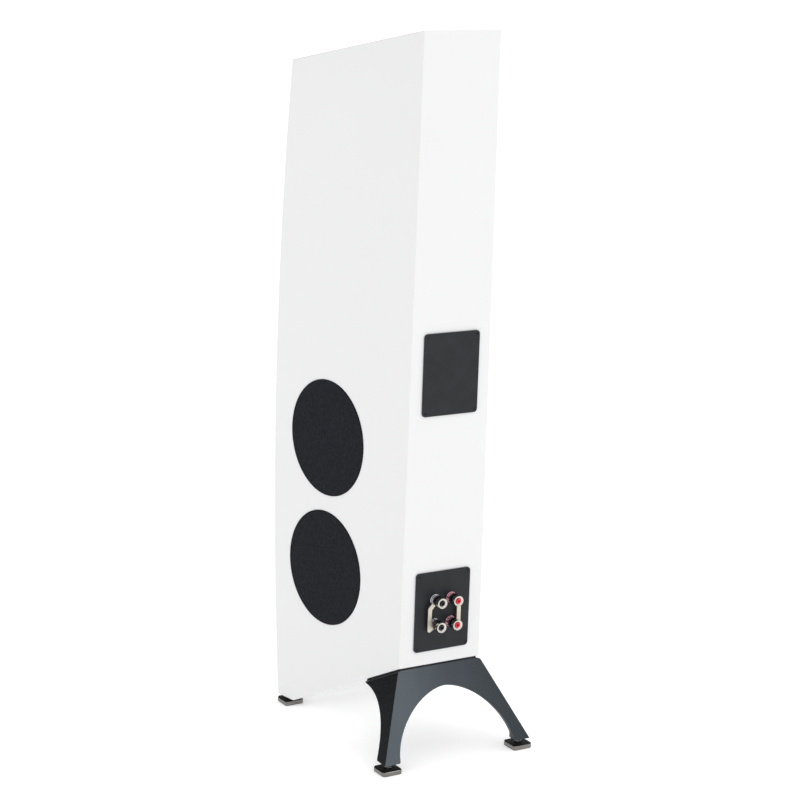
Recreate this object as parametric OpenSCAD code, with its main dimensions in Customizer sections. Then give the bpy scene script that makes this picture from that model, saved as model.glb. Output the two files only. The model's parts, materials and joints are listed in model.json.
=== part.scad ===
// Floorstanding speaker: +Z up, the curved front faces -Y, the woofers fire to +X.
// The origin is on the floor, in the middle of the footprint. Millimetres.

/* [Cabinet] */
// Height of the cabinet's rear top edge above the floor
height = 1200; // [1180:1:1220]
// Height of the cabinet's rear bottom edge above the floor
rear_z = 154; // [150:1:160]
// Width across the back at its bottom edge
rear_w_bottom = 156; // [150:1:160]
// Width across the back at its top edge
rear_w_top = 141; // [136:1:146]
// Angle that each side opens outward towards the front
flare = 8.4; // [8:0.1:9]
// Angle that the back leans backward
lean = 2; // [1.5:0.1:2.5]
// Angle that the top rises towards the back
top_slope = 10.1; // [9:0.1:11]
// Depth from the rear bottom edge forward to the flat toe
toe_depth = 296; // [290:1:300]
// Height of the flat toe above the floor
toe_z = 13.3; // [13:0.1:14]
// Radius of the front's curve, seen from the side
front_r = 5900; // [5700:50:6100]
// Height at which the front stands furthest forward
front_z = 408; // [380:1:430]
// Depth from the rear bottom edge forward to the foremost point
front_depth = 354; // [350:1:358]
// Thickness of the side panels
side_t = 28; // [26:1:30]
// Thickness of the front baffle
baffle_t = 28; // [26:1:30]
// Thickness of the back, top and bottom panels
panel_t = 22; // [20:1:24]
// Thickness of the braces
brace_t = 18; // [15:1:20]

/* [Drivers] */
// Radius of each round woofer grille
grille_r = 99.7; // [99:0.1:100]
// Height of the upper woofer's centre
upper_woofer_z = 509; // [506:1:512]
// Depth of the upper woofer's centre, forward of the rear bottom edge
upper_woofer_depth = 202; // [198:1:206]
// Height of the lower woofer's centre
lower_woofer_z = 280; // [277:1:283]
// Depth of the lower woofer's centre, forward of the rear bottom edge
lower_woofer_depth = 206; // [202:1:210]
// Height of the midrange driver's centre
mid_z = 870; // [860:1:890]
// Size of the midrange driver as a share of a woofer
mid_scale = 0.72; // [0.7:0.01:0.74]
// Height of the tweeter's centre
tweeter_z = 1000; // [995:1:1010]

/* [Back] */
// Height of the cover plate's centre
cover_z = 650; // [645:1:655]
// Height of the terminal plate's centre
terminal_z = 247; // [245:1:250]
// Width of each plate
plate_w = 104; // [102:1:106]
// Height of each plate
plate_h = 137; // [135:1:139]
// Thickness of each plate
plate_t = 3; // [2.5:0.5:3.5]
// Distance of the binding posts from the plate's centre line
post_x = 15.5; // [15:0.5:17]
// Distance of the binding posts above and below the plate's centre
post_y = 21; // [20:0.5:22]
// Radius of a binding post's knob
knob_r = 9; // [8.5:0.1:9.2]
// Length of a binding post, measured from the back panel
post_len = 29.5; // [28:0.5:31]

/* [Stand and feet] */
// Distance of the ridge's lower end from the middle
leg_x = 141; // [140:0.5:142]
// Distance of the ridge's lower end behind the rear bottom edge
leg_y = 67; // [66:0.5:67]
// Height of the legs' lower ends above the floor
leg_z = 17.5; // [17:0.5:18]
// Thickness of the stand's walls
stand_t = 8; // [7:0.5:9]
// Half of the arch's width at the legs' lower ends
arch_a = 111; // [108:1:112]
// Height of the arch above the legs' lower ends
arch_b = 101; // [98:1:103]
// Thickness of the pad between stand and cabinet
gasket_t = 3; // [2.5:0.5:3.5]
// Side of each square foot pad
pad_w = 36; // [34:1:37]
// Thickness of each foot pad
pad_t = 9; // [8:0.5:9]
// Distance of the rear feet from the middle
rear_foot_x = 127; // [126:0.5:127.5]
// Distance of the rear feet behind the rear bottom edge
rear_foot_y = 51.5; // [51:0.5:52]
// Distance of the front feet from the middle
front_foot_x = 112; // [110:1:113]
// Depth of the front feet, forward of the rear bottom edge
front_foot_depth = 324; // [322:1:326]

/* [Hidden] */
$fn = 96;
WIDE = 2000;
white = "whitesmoke";
charcoal = [0.16, 0.16, 0.17];
rear_y = (front_depth - rear_foot_y - pad_w / 2) / 2;
taper = (rear_w_bottom - rear_w_top) / 2 / (height - rear_z);
slope = atan((rear_z - toe_z) / toe_depth);
top_y = rear_y + (height - rear_z) * tan(lean);
side_n = [1, tan(flare), taper - tan(flare) * tan(lean)] / norm([1, tan(flare), taper]);
back_n = [0, cos(lean), -sin(lean)];
top_n = [0, -sin(top_slope), cos(top_slope)];
under_n = [0, sin(slope), -cos(slope)];
rear_edge = [0, rear_y, rear_z];
side_origin = [rear_w_bottom / 2, rear_y, rear_z];
top_edge = [0, top_y, height];

// Driver sizes, along the driver's own axis from the cabinet's outer surface
flange_z = -12;
flange_t = 5;
flange_r = 94;
basket_r = 84;
basket_z = -67;
cone_r = 70.2;
coil_r = 20;
neck_z = -46;
gap_in = 18.3;
gap_out = 21.7;
fit_gap = 0.3;
mid_lift = -flange_z * mid_scale - 0.5;

// Binding posts
stud_r = 4;
turn_gap = 0.05;
collar_z = plate_t + 6;
strap_t = 1.5;
strap_w = 7.5;
washer_z = collar_z + strap_t;
knob_z = washer_z + 1.5;
banana_r = 2;
banana_depth = 20;
strap_out = 12.5;
upper_knee = 14.5;
lower_knee = 8.5;
post_places = [for (side = [1, -1], row = [1, -1]) [side * -post_x, row * post_y]];

screw_r = 1.8;
screw_len = 14;

// Stand and feet
stand_side_dir = [tan(flare), -1, -tan(slope)];
ridge = [leg_x - rear_w_bottom / 2, leg_y, leg_z - rear_z];
stand_cross = cross(stand_side_dir, ridge);
stand_n = stand_cross / norm(stand_cross);
tip_depth = 92;
leg_depth = 31;
leg_sweep = 0.4;
gasket_drop = gasket_t / cos(slope);
tip_drop = tip_depth * tan(slope) + gasket_drop;
ridge_tilt = atan(leg_y / (rear_z - gasket_drop - leg_z));
spindle_r = 5;
spindle_z = 4;
spindle_top = 29;
boss_r = 14.5;
boss_h = 34;
bore_top = 30;
insert_top = 46;
insert_r = 8;
bolt_r = 4;
bolt_places = [[-45, 30], [45, 30], [-50, 72], [50, 72]];

// ---- Placing and shaping helpers ----

// Distance from the middle plane to a side's outer surface
function half_width(y, z) =
    rear_w_bottom / 2 + tan(flare) * (rear_y + (z - rear_z) * tan(lean) - y)
    - taper * (z - rear_z);

// One quarter of a superellipse, from its foot [a, 0] to its crown [0, b]
function quarter(a, b, p, steps) =
    [for (i = [0 : steps]) [a * pow(cos(90 * i / steps), 2 / p), b * pow(sin(90 * i / steps), 2 / p)]];

// All the space behind a plane that faces along n and passes through p
module behind(n, p, inset = 0) {
    translate(p)
        rotate([0, acos(n.z), atan2(n.y, n.x)])
            translate([-WIDE, -WIDE, -inset - 2 * WIDE])
                cube([2 * WIDE, 2 * WIDE, 2 * WIDE]);
}

// Draws an outline of Y and Z, extruded along X
module across(w) {
    rotate([90, 0, 90])
        linear_extrude(w, center = true)
            children();
}

module on_side(depth, z) {
    y = rear_y - depth;
    translate([half_width(y, z), y, z])
        rotate([0, acos(side_n.z), atan2(side_n.y, side_n.x)])
            children();
}

module on_front(z) {
    tilt = asin((z - front_z) / front_r);
    y = rear_y - front_depth + front_r * (1 - cos(tilt));
    translate([0, y, z])
        rotate([90 - tilt, 0, 0])
            children();
}

module on_back(z) {
    translate([0, rear_y + (z - rear_z) * tan(lean), z])
        rotate([90 + lean, 0, 180])
            children();
}

module on_underside(x, depth) {
    translate([x, rear_y - depth * cos(slope), rear_z - depth * sin(slope)])
        rotate([slope - 180, 0, 0])
            children();
}

module rounded_plate(w, h, t, r) {
    linear_extrude(t) {
        square([w - 2 * r, h], center = true);
        square([w, h - 2 * r], center = true);
        for (x = [-1, 1], y = [-1, 1])
            translate([x * (w / 2 - r), y * (h / 2 - r)])
                circle(r);
    }
}

module ring(r_in, r_out, z, h) {
    translate([0, 0, z])
        difference() {
            cylinder(r = r_out, h = h);
            translate([0, 0, -1])
                cylinder(r = r_in, h = h + 2);
        }
}

// ---- Cabinet ----

module outline() {
    far = rear_y - front_depth - 40;
    polygon([
        [rear_y, rear_z],
        [rear_y - toe_depth, toe_z],
        [far, toe_z],
        [far, height - (top_y - far) * tan(top_slope)],
        [top_y, height]
    ]);
}

module front_curve(inset) {
    translate([0, rear_y - front_depth + front_r, front_z])
        rotate([0, 90, 0])
            cylinder(r = front_r - inset, h = WIDE, center = true, $fn = 720);
}

// The cabinet's outer form, with the front and both sides moved inward
module cabinet_form(front_inset, side_inset) {
    intersection() {
        across(WIDE)
            outline();
        front_curve(front_inset);
        behind(side_n, side_origin, side_inset);
        mirror([1, 0, 0])
            behind(side_n, side_origin, side_inset);
    }
}

module cavity() {
    intersection() {
        cabinet_form(baffle_t, side_t);
        behind(back_n, rear_edge, panel_t);
        behind(top_n, top_edge, panel_t);
        behind(under_n, rear_edge, panel_t);
    }
}

module driver_cut(size = 1) {
    scale(size) {
        translate([0, 0, -100])
            cylinder(r = basket_r, h = 120);
        translate([0, 0, flange_z - flange_t])
            cylinder(r = flange_r + fit_gap, h = 60);
    }
}

// The holes for the screws of both back plates
module screw_holes() {
    for (z = [cover_z, terminal_z])
        on_back(z)
            at_screws()
                translate([0, 0, -screw_len])
                    cylinder(r = screw_r, h = screw_len + 5, $fn = 48);
}

module side_panel_left() {
    color(white)
        difference() {
            mirror([1, 0, 0])
                difference() {
                    cabinet_form(baffle_t, 0);
                    behind(side_n, side_origin, side_t);
                }
            screw_holes();
        }
}

module woofer_cut() {
    driver_cut();
    translate([0, 0, flange_z])
        cylinder(r = grille_r + fit_gap, h = 60);
}

module side_panel_right() {
    color(white)
        difference() {
            cabinet_form(baffle_t, 0);
            behind(side_n, side_origin, side_t);
            upper_woofer() woofer_cut();
            lower_woofer() woofer_cut();
            screw_holes();
        }
}

module back_panel() {
    color(white)
        difference() {
            cabinet_form(baffle_t, side_t);
            behind(back_n, rear_edge, panel_t);
            for (z = [cover_z, terminal_z])
                on_back(z)
                    translate([0, 0, -panel_t - 5])
                        rounded_plate(plate_w - 18, plate_h - 18, panel_t + 10, 4);
            screw_holes();
        }
}

module top_panel() {
    color(white)
        difference() {
            intersection() {
                cabinet_form(baffle_t, side_t);
                behind(back_n, rear_edge, panel_t);
            }
            behind(top_n, top_edge, panel_t);
        }
}

module bottom_panel() {
    color(white)
        difference() {
            intersection() {
                cabinet_form(baffle_t, side_t);
                behind(back_n, rear_edge, panel_t);
            }
            behind(under_n, rear_edge, panel_t);
            for (place = bolt_places)
                on_underside(place.x, place.y)
                    translate([0, 0, -18])
                        cylinder(r = bolt_r, h = 30);
        }
}

module front_baffle() {
    color(white)
        difference() {
            cabinet_form(0, 0);
            front_curve(baffle_t);
            on_front(mid_z)
                translate([0, 0, mid_lift])
                    driver_cut(mid_scale);
            on_front(tweeter_z) {
                translate([0, 0, -40])
                    cylinder(r = 38, h = 60);
                translate([0, 0, -4.5])
                    cylinder(r = 50.3, h = 30);
            }
            for (side = [-1, 1])
                front_foot(side)
                    cylinder(r = insert_r, h = insert_top);
        }
}

// A level shelf across the inside, at height z
module shelf(z) {
    intersection() {
        cavity();
        translate([-WIDE / 2, -WIDE / 2, z])
            cube([WIDE, WIDE, brace_t]);
    }
}

module window_brace(z) {
    color("burlywood")
        difference() {
            shelf(z);
            for (y = [-140, -30])
                translate([-45, y, z - 1])
                    cube([90, 80, brace_t + 2]);
        }
}

module brace_lower() {
    window_brace(386);
}

module brace_upper() {
    window_brace(1070);
}

module chamber_divider() {
    color("burlywood")
        shelf(745);
}

module damping_pad() {
    color("gainsboro")
        translate([0, 45, 790])
            rounded_plate(84, 120, 230, 20);
}

// ---- Woofers and midrange: one design, drawn on the driver's own axis ----

module driver_frame() {
    color(charcoal)
        difference() {
            rotate_extrude()
                polygon([
                    [79, flange_z], [flange_r, flange_z], [flange_r, flange_z - flange_t],
                    [82, flange_z - flange_t], [58, basket_z], [30, basket_z],
                    [30, basket_z + 3], [55.5, basket_z + 3], [79, flange_z - flange_t]
                ]);
            for (a = [0 : 60 : 300])
                rotate(a)
                    translate([70, 0, -42])
                        cube([40, 44, 32], center = true);
        }
}

module driver_magnet() {
    color("dimgray")
        rotate_extrude()
            polygon([
                [gap_out, basket_z], [48, basket_z], [48, basket_z - 7], [52, basket_z - 7],
                [52, basket_z - 25], [50, basket_z - 25], [50, basket_z - 32], [0, basket_z - 32],
                [0, basket_z], [gap_in, basket_z], [gap_in, basket_z - 25],
                [28, basket_z - 25], [28, basket_z - 7], [gap_out, basket_z - 7]
            ]);
}

// A shallow cone with a slight flare, and a domed dust cap
module driver_cone() {
    function flare_z(r) = neck_z + 33 * pow((r - coil_r) / (cone_r - coil_r), 0.8);
    wall = 1.5;
    cap_r = 27;
    cap_z = flare_z(cap_r);
    radii = [for (i = [0 : 8]) coil_r + (cone_r - coil_r) * i / 8];
    dome = [for (a = [0 : 15 : 90]) [cap_r * sin(a), cap_z + 9 * cos(a)]];
    color(charcoal)
        rotate_extrude()
            polygon(concat(
                dome,
                [for (r = radii) if (r > cap_r) [r, flare_z(r)]],
                [for (i = [8 : -1 : 0]) [radii[i], flare_z(radii[i]) - wall]],
                [[coil_r - 1, neck_z - wall], [coil_r - 1, neck_z], [cap_r - 3, cap_z - 0.5]],
                [for (i = [5 : -1 : 0]) [dome[i].x * 0.92, dome[i].y - wall]]
            ));
}

module driver_coil() {
    coil_end = basket_z - 17;
    color("peru")
        ring(coil_r - 1, coil_r, coil_end, neck_z - 1.5 - coil_end);
}

module driver_surround() {
    roll = 5.6;
    skin = 1.2;
    middle = cone_r + 0.4 + roll;
    color("black")
        rotate_extrude()
            polygon(concat(
                [for (a = [180 : -15 : 15]) [middle + roll * cos(a), flange_z + roll * sin(a)]],
                [[88, flange_z + skin], [88, flange_z]],
                [for (a = [0 : 15 : 180])
                    [middle + (roll - skin) * cos(a), flange_z + (roll - skin) * sin(a)]]
            ));
}

module driver_spider() {
    color("goldenrod")
        ring(coil_r + 0.5, 54, basket_z + 3, 2);
}

module woofer_spiders() {
    upper_woofer() driver_spider();
    lower_woofer() driver_spider();
}

module upper_woofer() {
    on_side(upper_woofer_depth, upper_woofer_z) children();
}

module lower_woofer() {
    on_side(lower_woofer_depth, lower_woofer_z) children();
}

module midrange() {
    on_front(mid_z)
        translate([0, 0, mid_lift])
            scale(mid_scale)
                children();
}

module grille_ring() {
    color(charcoal)
        ring(91, grille_r, flange_z, -flange_z + 0.5);
}

module grille_cloth() {
    color(charcoal)
        translate([0, 0, 0.5])
            cylinder(r = grille_r, h = 1.5);
}

// ---- Tweeter ----

module tweeter_plate() {
    color(charcoal)
        on_front(tweeter_z)
            rotate_extrude()
                polygon([[14.5, -4.5], [50, -4.5], [50, -0.5], [24, -0.5], [14.5, -3.5]]);
}

module tweeter_dome() {
    color("silver")
        on_front(tweeter_z) {
            rotate_extrude()
                polygon(concat(
                    [for (a = [0 : 10 : 70]) [14.4 * sin(a), 14.4 * cos(a) - 14.5]],
                    [[13.4, -10.5], [12.8, -10.5]],
                    [for (a = [60 : -10 : 0]) [13.7 * sin(a), 13.7 * cos(a) - 14.5]]
                ));
        }
}

module tweeter_motor() {
    color("dimgray")
        on_front(tweeter_z)
            rotate_extrude()
                polygon([
                    [14.5, -4.5], [36, -4.5], [36, -30], [0, -30], [0, -12.5],
                    [11.8, -12.5], [11.8, -18], [14.5, -18]
                ]);
}

// ---- Back plates, crossover and binding posts ----

module at_corners(w, h) {
    for (x = [-1, 1], y = [-1, 1])
        translate([x * w / 2, y * h / 2, 0])
            children();
}

// Places the four screws of a back plate
module at_screws() {
    at_corners(plate_w - 11, plate_h - 11)
        children();
}

// A countersunk screw with its flat head level with the plate's face
module screw_form(len) {
    translate([0, 0, plate_t - 2])
        cylinder(r1 = screw_r, r2 = 2 * screw_r, h = 2, $fn = 48);
    translate([0, 0, -len])
        cylinder(r = screw_r, h = len + plate_t - 2, $fn = 48);
}

module back_plate_blank() {
    difference() {
        rounded_plate(plate_w, plate_h, plate_t, 6);
        at_screws()
            screw_form(5);
    }
}

module cover_plate() {
    color(charcoal)
        on_back(cover_z) {
            back_plate_blank();
            at_corners(64, 94)
                translate([0, 0, -30])
                    cylinder(r = 4, h = 30);
        }
}

module terminal_plate() {
    color(charcoal)
        on_back(terminal_z)
            difference() {
                back_plate_blank();
                for (place = post_places)
                    translate([place.x, place.y, -1])
                        cylinder(r = stud_r, h = plate_t + 2);
            }
}

module plate_screws() {
    color("dimgray")
        for (z = [cover_z, terminal_z])
            on_back(z)
                at_screws()
                    screw_form(screw_len);
}

module crossover_board() {
    color("darkgreen")
        on_back(cover_z)
            translate([0, 0, -31.6])
                rounded_plate(78, 108, 1.6, 2);
}

module crossover_parts() {
    color("peru")
        on_back(cover_z)
            translate([0, 0, -31.6]) {
                for (y = [-32, 30])
                    translate([-18, y, 0])
                        ring(8, 17, -20, 20);
                for (y = [-38, -14, 10, 34])
                    translate([20, y, -11])
                        rotate([0, 90, 0])
                            cylinder(r = 9, h = 30, center = true);
                translate([-30, -6, -8])
                    cube([24, 9, 8]);
            }
}

module at_posts() {
    on_back(terminal_z)
        for (place = post_places)
            translate(place)
                children();
}

module at_post(i) {
    on_back(terminal_z)
        translate(post_places[i])
            children();
}

module post_studs() {
    color("silver")
        at_posts()
            difference() {
                union() {
                    translate([0, 0, -20])
                        cylinder(r = stud_r, h = post_len + 20);
                    translate([0, 0, -8])
                        cylinder(r = 7.5, h = 8, $fn = 6);
                }
                translate([0, 0, post_len - banana_depth])
                    cylinder(r = banana_r, h = banana_depth + 1);
            }
}

module post_collars() {
    color("black")
        at_posts()
            ring(stud_r, 9.5, plate_t, collar_z - plate_t);
}

function unit(angle) = [cos(angle), sin(angle)];

// Points on an arc about c, between two angles
function arc(c, r, from, to, steps) =
    [for (i = [0 : steps]) c + r * unit(from + (to - from) * i / steps)];

// One flat strap: outward and down from the upper post, then back up into the lower post
module strap() {
    upper = [post_x, post_y];
    lower = [post_x, -post_y];
    knees = [upper + [strap_out, -upper_knee], lower + [strap_out, -lower_knee]];
    upper_a = 90 - atan(upper_knee / strap_out);
    lower_a = -90 - atan(lower_knee / strap_out);
    half = strap_w / 2;
    difference() {
        linear_extrude(strap_t) {
            polygon(concat(
                arc(knees[0], half, upper_a, 0, 6),
                arc(knees[1], half, 0, lower_a, 16),
                [
                    lower + half * unit(lower_a),
                    lower - half * unit(lower_a),
                    knees[1] - half / cos(lower_a / 2) * unit(lower_a / 2),
                    knees[0] - half / cos(upper_a / 2) * unit(upper_a / 2),
                    upper - half * unit(upper_a),
                    upper + half * unit(upper_a)
                ]
            ));
            for (post = [upper, lower])
                translate(post)
                    circle(7);
        }
        for (post = [upper, lower])
            translate([post.x, post.y, -1])
                cylinder(r = stud_r, h = strap_t + 2);
    }
}

module jumpers() {
    color("wheat")
        on_back(terminal_z)
            translate([0, 0, collar_z])
                for (side = [0, 1])
                    mirror([side, 0, 0])
                        strap();
}

module washer(i) {
    color("silver")
        at_post(i)
            ring(stud_r + turn_gap, 8.2, washer_z, knob_z - washer_z);
}

module knob(i, shade) {
    color(shade)
        at_post(i)
            difference() {
                translate([0, 0, knob_z])
                    cylinder(r = knob_r, h = post_len - knob_z);
                translate([0, 0, knob_z - 1])
                    cylinder(r = stud_r + turn_gap, h = post_len);
                for (a = [0 : 30 : 330])
                    rotate(a)
                        translate([knob_r + 0.6, 0, knob_z + 2])
                            cylinder(r = 1.2, h = 8, $fn = 24);
            }
}

// ---- Stand ----

// The stand's side view: top on the sloping underside, ridge at the back, hollowed front
module stand_outline() {
    front_b = rear_z - tip_drop - leg_z;
    front_a = tip_depth + leg_y - leg_depth - leg_sweep * front_b;
    curve = quarter(front_a, front_b, 2.5, 24);
    polygon(concat(
        [[rear_y, rear_z - gasket_drop], [rear_y + leg_y, leg_z]],
        [for (p = curve) [rear_y - tip_depth + p.x + leg_sweep * (front_b - p.y), leg_z + p.y]]
    ));
}

module between_stand_sides(inset) {
    intersection() {
        children();
        behind(stand_n, side_origin, inset);
        mirror([1, 0, 0])
            behind(stand_n, side_origin, inset);
    }
}

module stand_form() {
    between_stand_sides(0)
        across(WIDE)
            stand_outline();
}

// The space inside the stand's walls, open to the front and below
module stand_hollow() {
    wall_drop = stand_t / cos(slope);
    wall_step = stand_t / cos(ridge_tilt);
    steep = tan(ridge_tilt);
    corner = (wall_drop - wall_step / steep) / (tan(slope) + 1 / steep);
    low_z = leg_z - 20;
    low = (rear_z - gasket_drop - low_z) * steep - wall_step;
    far = -200;
    between_stand_sides(stand_t)
        across(WIDE)
            translate([rear_y, 0])
                polygon([
                    [corner, rear_z - gasket_drop - wall_drop + corner * tan(slope)],
                    [low, low_z],
                    [far, low_z],
                    [far, rear_z - gasket_drop - wall_drop + far * tan(slope)]
                ]);
}

module arch() {
    half = quarter(arch_a, arch_b, 1.7, 24);
    translate([0, rear_y - 25, leg_z])
        rotate([90, 0, 180])
            linear_extrude(150)
                polygon(concat(
                    [[arch_a, -20]],
                    half,
                    [for (i = [24 : -1 : 0]) [-half[i].x, half[i].y]],
                    [[-arch_a, -20]]
                ));
}

module rear_foot(side) {
    translate([side * rear_foot_x, rear_y + rear_foot_y, 0])
        children();
}

module front_foot(side) {
    translate([side * front_foot_x, rear_y - front_foot_depth, 0])
        children();
}

module stand() {
    color("darkslategray")
        difference() {
            union() {
                difference() {
                    stand_form();
                    stand_hollow();
                    arch();
                }
                intersection() {
                    stand_form();
                    for (side = [-1, 1])
                        rear_foot(side)
                            cylinder(r = boss_r, h = boss_h);
                }
            }
            for (side = [-1, 1])
                rear_foot(side)
                    cylinder(r = spindle_r + turn_gap, h = bore_top);
            for (place = bolt_places)
                on_underside(place.x, place.y)
                    cylinder(r = bolt_r, h = 40);
        }
}

module stand_gasket() {
    color("black")
        difference() {
            between_stand_sides(5)
                across(WIDE)
                    polygon([
                        for (p = [[2, 0], [2, 1], [tip_depth, 1], [tip_depth, 0]])
                            [rear_y - p.x, rear_z - p.x * tan(slope) - p.y * gasket_drop]
                    ]);
            for (place = bolt_places)
                on_underside(place.x, place.y)
                    cylinder(r = bolt_r, h = 40);
        }
}

module stand_bolts() {
    color("dimgray")
        for (place = bolt_places)
            on_underside(place.x, place.y) {
                translate([0, 0, -17])
                    cylinder(r = bolt_r, h = 17 + gasket_t + stand_t);
                translate([0, 0, gasket_t + stand_t])
                    cylinder(r = 6.5, h = 5);
            }
}

// ---- Feet ----

module foot_inserts() {
    color("goldenrod")
        for (side = [-1, 1])
            front_foot(side)
                ring(spindle_r + turn_gap, insert_r, toe_z, insert_top - toe_z);
}

module foot_pad() {
    color("dimgray")
        difference() {
            rounded_plate(pad_w, pad_w, pad_t, 5);
            translate([0, 0, spindle_z - 0.1])
                cylinder(r = spindle_r + turn_gap, h = pad_t);
        }
}

module foot_spindle() {
    color("silver") {
        translate([0, 0, spindle_z])
            cylinder(r = spindle_r, h = spindle_top - spindle_z);
        translate([0, 0, pad_t + 0.4])
            cylinder(r = 7, h = 3.2, $fn = 6);
    }
}

side_panel_left();
side_panel_right();
back_panel();
top_panel();
bottom_panel();
front_baffle();
brace_lower();
brace_upper();
chamber_divider();
damping_pad();
upper_woofer() driver_frame();  // woofer_upper_frame
upper_woofer() driver_magnet();  // woofer_upper_magnet
upper_woofer() driver_cone();  // woofer_upper_cone
upper_woofer() driver_coil();  // woofer_upper_coil
upper_woofer() driver_surround();  // woofer_upper_surround
lower_woofer() driver_frame();  // woofer_lower_frame
lower_woofer() driver_magnet();  // woofer_lower_magnet
lower_woofer() driver_cone();  // woofer_lower_cone
lower_woofer() driver_coil();  // woofer_lower_coil
lower_woofer() driver_surround();  // woofer_lower_surround
woofer_spiders();
upper_woofer() grille_ring();  // grille_upper_ring
upper_woofer() grille_cloth();  // grille_upper_cloth
lower_woofer() grille_ring();  // grille_lower_ring
lower_woofer() grille_cloth();  // grille_lower_cloth
midrange() driver_frame();  // midrange_frame
midrange() driver_magnet();  // midrange_magnet
midrange() driver_cone();  // midrange_cone
midrange() driver_surround();  // midrange_surround
tweeter_plate();
tweeter_dome();
tweeter_motor();
cover_plate();
terminal_plate();
plate_screws();
crossover_board();
crossover_parts();
post_studs();
post_collars();
jumpers();
washer(0);  // washer_black_upper
washer(2);  // washer_red_upper
washer(1);  // washer_black_lower
washer(3);  // washer_red_lower
knob(0, "dimgray");  // knob_black_upper
knob(2, "red");  // knob_red_upper
knob(1, "dimgray");  // knob_black_lower
knob(3, "red");  // knob_red_lower
stand();
stand_gasket();
stand_bolts();
foot_inserts();
rear_foot(1) foot_pad();  // pad_rear_right
rear_foot(-1) foot_pad();  // pad_rear_left
front_foot(1) foot_pad();  // pad_front_right
front_foot(-1) foot_pad();  // pad_front_left
rear_foot(1) foot_spindle();  // spindle_rear_right
rear_foot(-1) foot_spindle();  // spindle_rear_left
front_foot(1) foot_spindle();  // spindle_front_right
front_foot(-1) foot_spindle();  // spindle_front_left
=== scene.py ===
"""Looks of the floorstanding speaker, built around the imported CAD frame. Metres, +Z up, front to -Y."""
import json
import math

import bmesh
import bpy
from mathutils import Matrix, Vector, noise

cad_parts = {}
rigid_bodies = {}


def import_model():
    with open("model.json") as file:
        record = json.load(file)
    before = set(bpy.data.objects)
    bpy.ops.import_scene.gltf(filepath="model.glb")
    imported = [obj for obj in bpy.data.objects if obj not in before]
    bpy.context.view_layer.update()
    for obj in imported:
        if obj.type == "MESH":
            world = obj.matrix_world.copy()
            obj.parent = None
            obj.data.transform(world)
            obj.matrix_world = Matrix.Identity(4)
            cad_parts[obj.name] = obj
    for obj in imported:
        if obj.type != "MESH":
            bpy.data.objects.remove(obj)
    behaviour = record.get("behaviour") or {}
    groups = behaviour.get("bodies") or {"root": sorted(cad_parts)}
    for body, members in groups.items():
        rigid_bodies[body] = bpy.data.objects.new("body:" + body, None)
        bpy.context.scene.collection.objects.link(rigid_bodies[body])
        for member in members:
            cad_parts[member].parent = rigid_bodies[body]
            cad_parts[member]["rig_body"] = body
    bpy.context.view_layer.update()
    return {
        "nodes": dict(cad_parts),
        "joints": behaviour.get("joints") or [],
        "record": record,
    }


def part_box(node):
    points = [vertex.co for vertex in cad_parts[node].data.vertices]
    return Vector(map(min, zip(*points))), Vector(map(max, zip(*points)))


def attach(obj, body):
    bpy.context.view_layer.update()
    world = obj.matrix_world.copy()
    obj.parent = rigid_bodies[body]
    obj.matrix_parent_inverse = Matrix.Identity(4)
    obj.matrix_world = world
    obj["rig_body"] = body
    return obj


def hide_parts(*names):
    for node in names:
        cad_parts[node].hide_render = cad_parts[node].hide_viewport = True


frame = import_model()

MM = 0.001
UP = Vector((0, 0, 1))
JOINTS = {j["name"]: j for j in frame["joints"]}
MOUNTS = {m["name"]: m for m in frame["record"]["mounts"]}
POSTS = ("black_upper", "red_upper", "black_lower", "red_lower")
FEET = ("rear_right", "rear_left", "front_right", "front_left")
SHARP = math.radians(32)  # edges bent further than this stay crisp
FLAT = math.radians(0.6)  # triangles bent less than this are one face
WELD = 2e-6               # metres between points that are one


# ---- Frames: +Z points out of a surface and +Y points up along it ----

def axes_frame(origin, normal, up=UP):
    """A frame at origin with its +Z along the normal and its +Y as near to up as can be."""
    z = Vector(normal).normalized()
    x = Vector(up).cross(z).normalized()
    m = Matrix((x, z.cross(x), z)).transposed().to_4x4()
    m.translation = origin
    return m


def joint_axis(name):
    """The unit vector along which a joint moves."""
    return Vector(JOINTS[name]["axis"]).normalized()


def node_frame(node, axis, top):
    """A node's middle across axis, at the height where the node's outermost face has z = top."""
    m = axes_frame((0, 0, 0), axis)
    points = [m.transposed() @ v.co for v in frame["nodes"][node].data.vertices]
    middle = [(min(p[i] for p in points) + max(p[i] for p in points)) / 2 for i in (0, 1)]
    m.translation = m @ Vector((*middle, max(p.z for p in points) - top))
    return m


BACK_N = joint_axis("clamp_red_upper_slide")
SIDE_N = joint_axis("woofer_upper_drive")
POST_LEN = 29.5 * MM      # how far a binding post reaches from the cabinet's back
SOCKET_DEPTH = 20 * MM    # of the socket in its end, with the mount half way down
POST_FRAMES = {
    p: axes_frame(Vector(MOUNTS["socket_" + p]["pos_m"])
                  - BACK_N * (POST_LEN - SOCKET_DEPTH / 2), BACK_N) for p in POSTS}
TERMINAL = axes_frame(sum((m.translation for m in POST_FRAMES.values()), Vector()) / 4, BACK_N)
COVER = node_frame("cover_plate", BACK_N, 3 * MM)
WOOFERS = {w: node_frame(f"grille_{w}_ring", SIDE_N, 0.5 * MM) for w in ("upper", "lower")}
MID = node_frame("midrange_frame", joint_axis("midrange_drive"), -0.5 * MM)
TWEETER = node_frame("tweeter_plate", joint_axis("tweeter_drive"), -0.5 * MM)
SCREW_SPOTS = [plate @ Matrix.Translation((x * MM, y * MM, 0))
               for plate in (COVER, TERMINAL) for x in (-46.5, 46.5) for y in (-63, 63)]


# ---- Materials ----

LOOP_HEIGHT = 0.22  # of a knit's loops, against its fine noise
WEAVE_TONE = 0.45   # share of the weave in a cloth's colour


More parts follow.
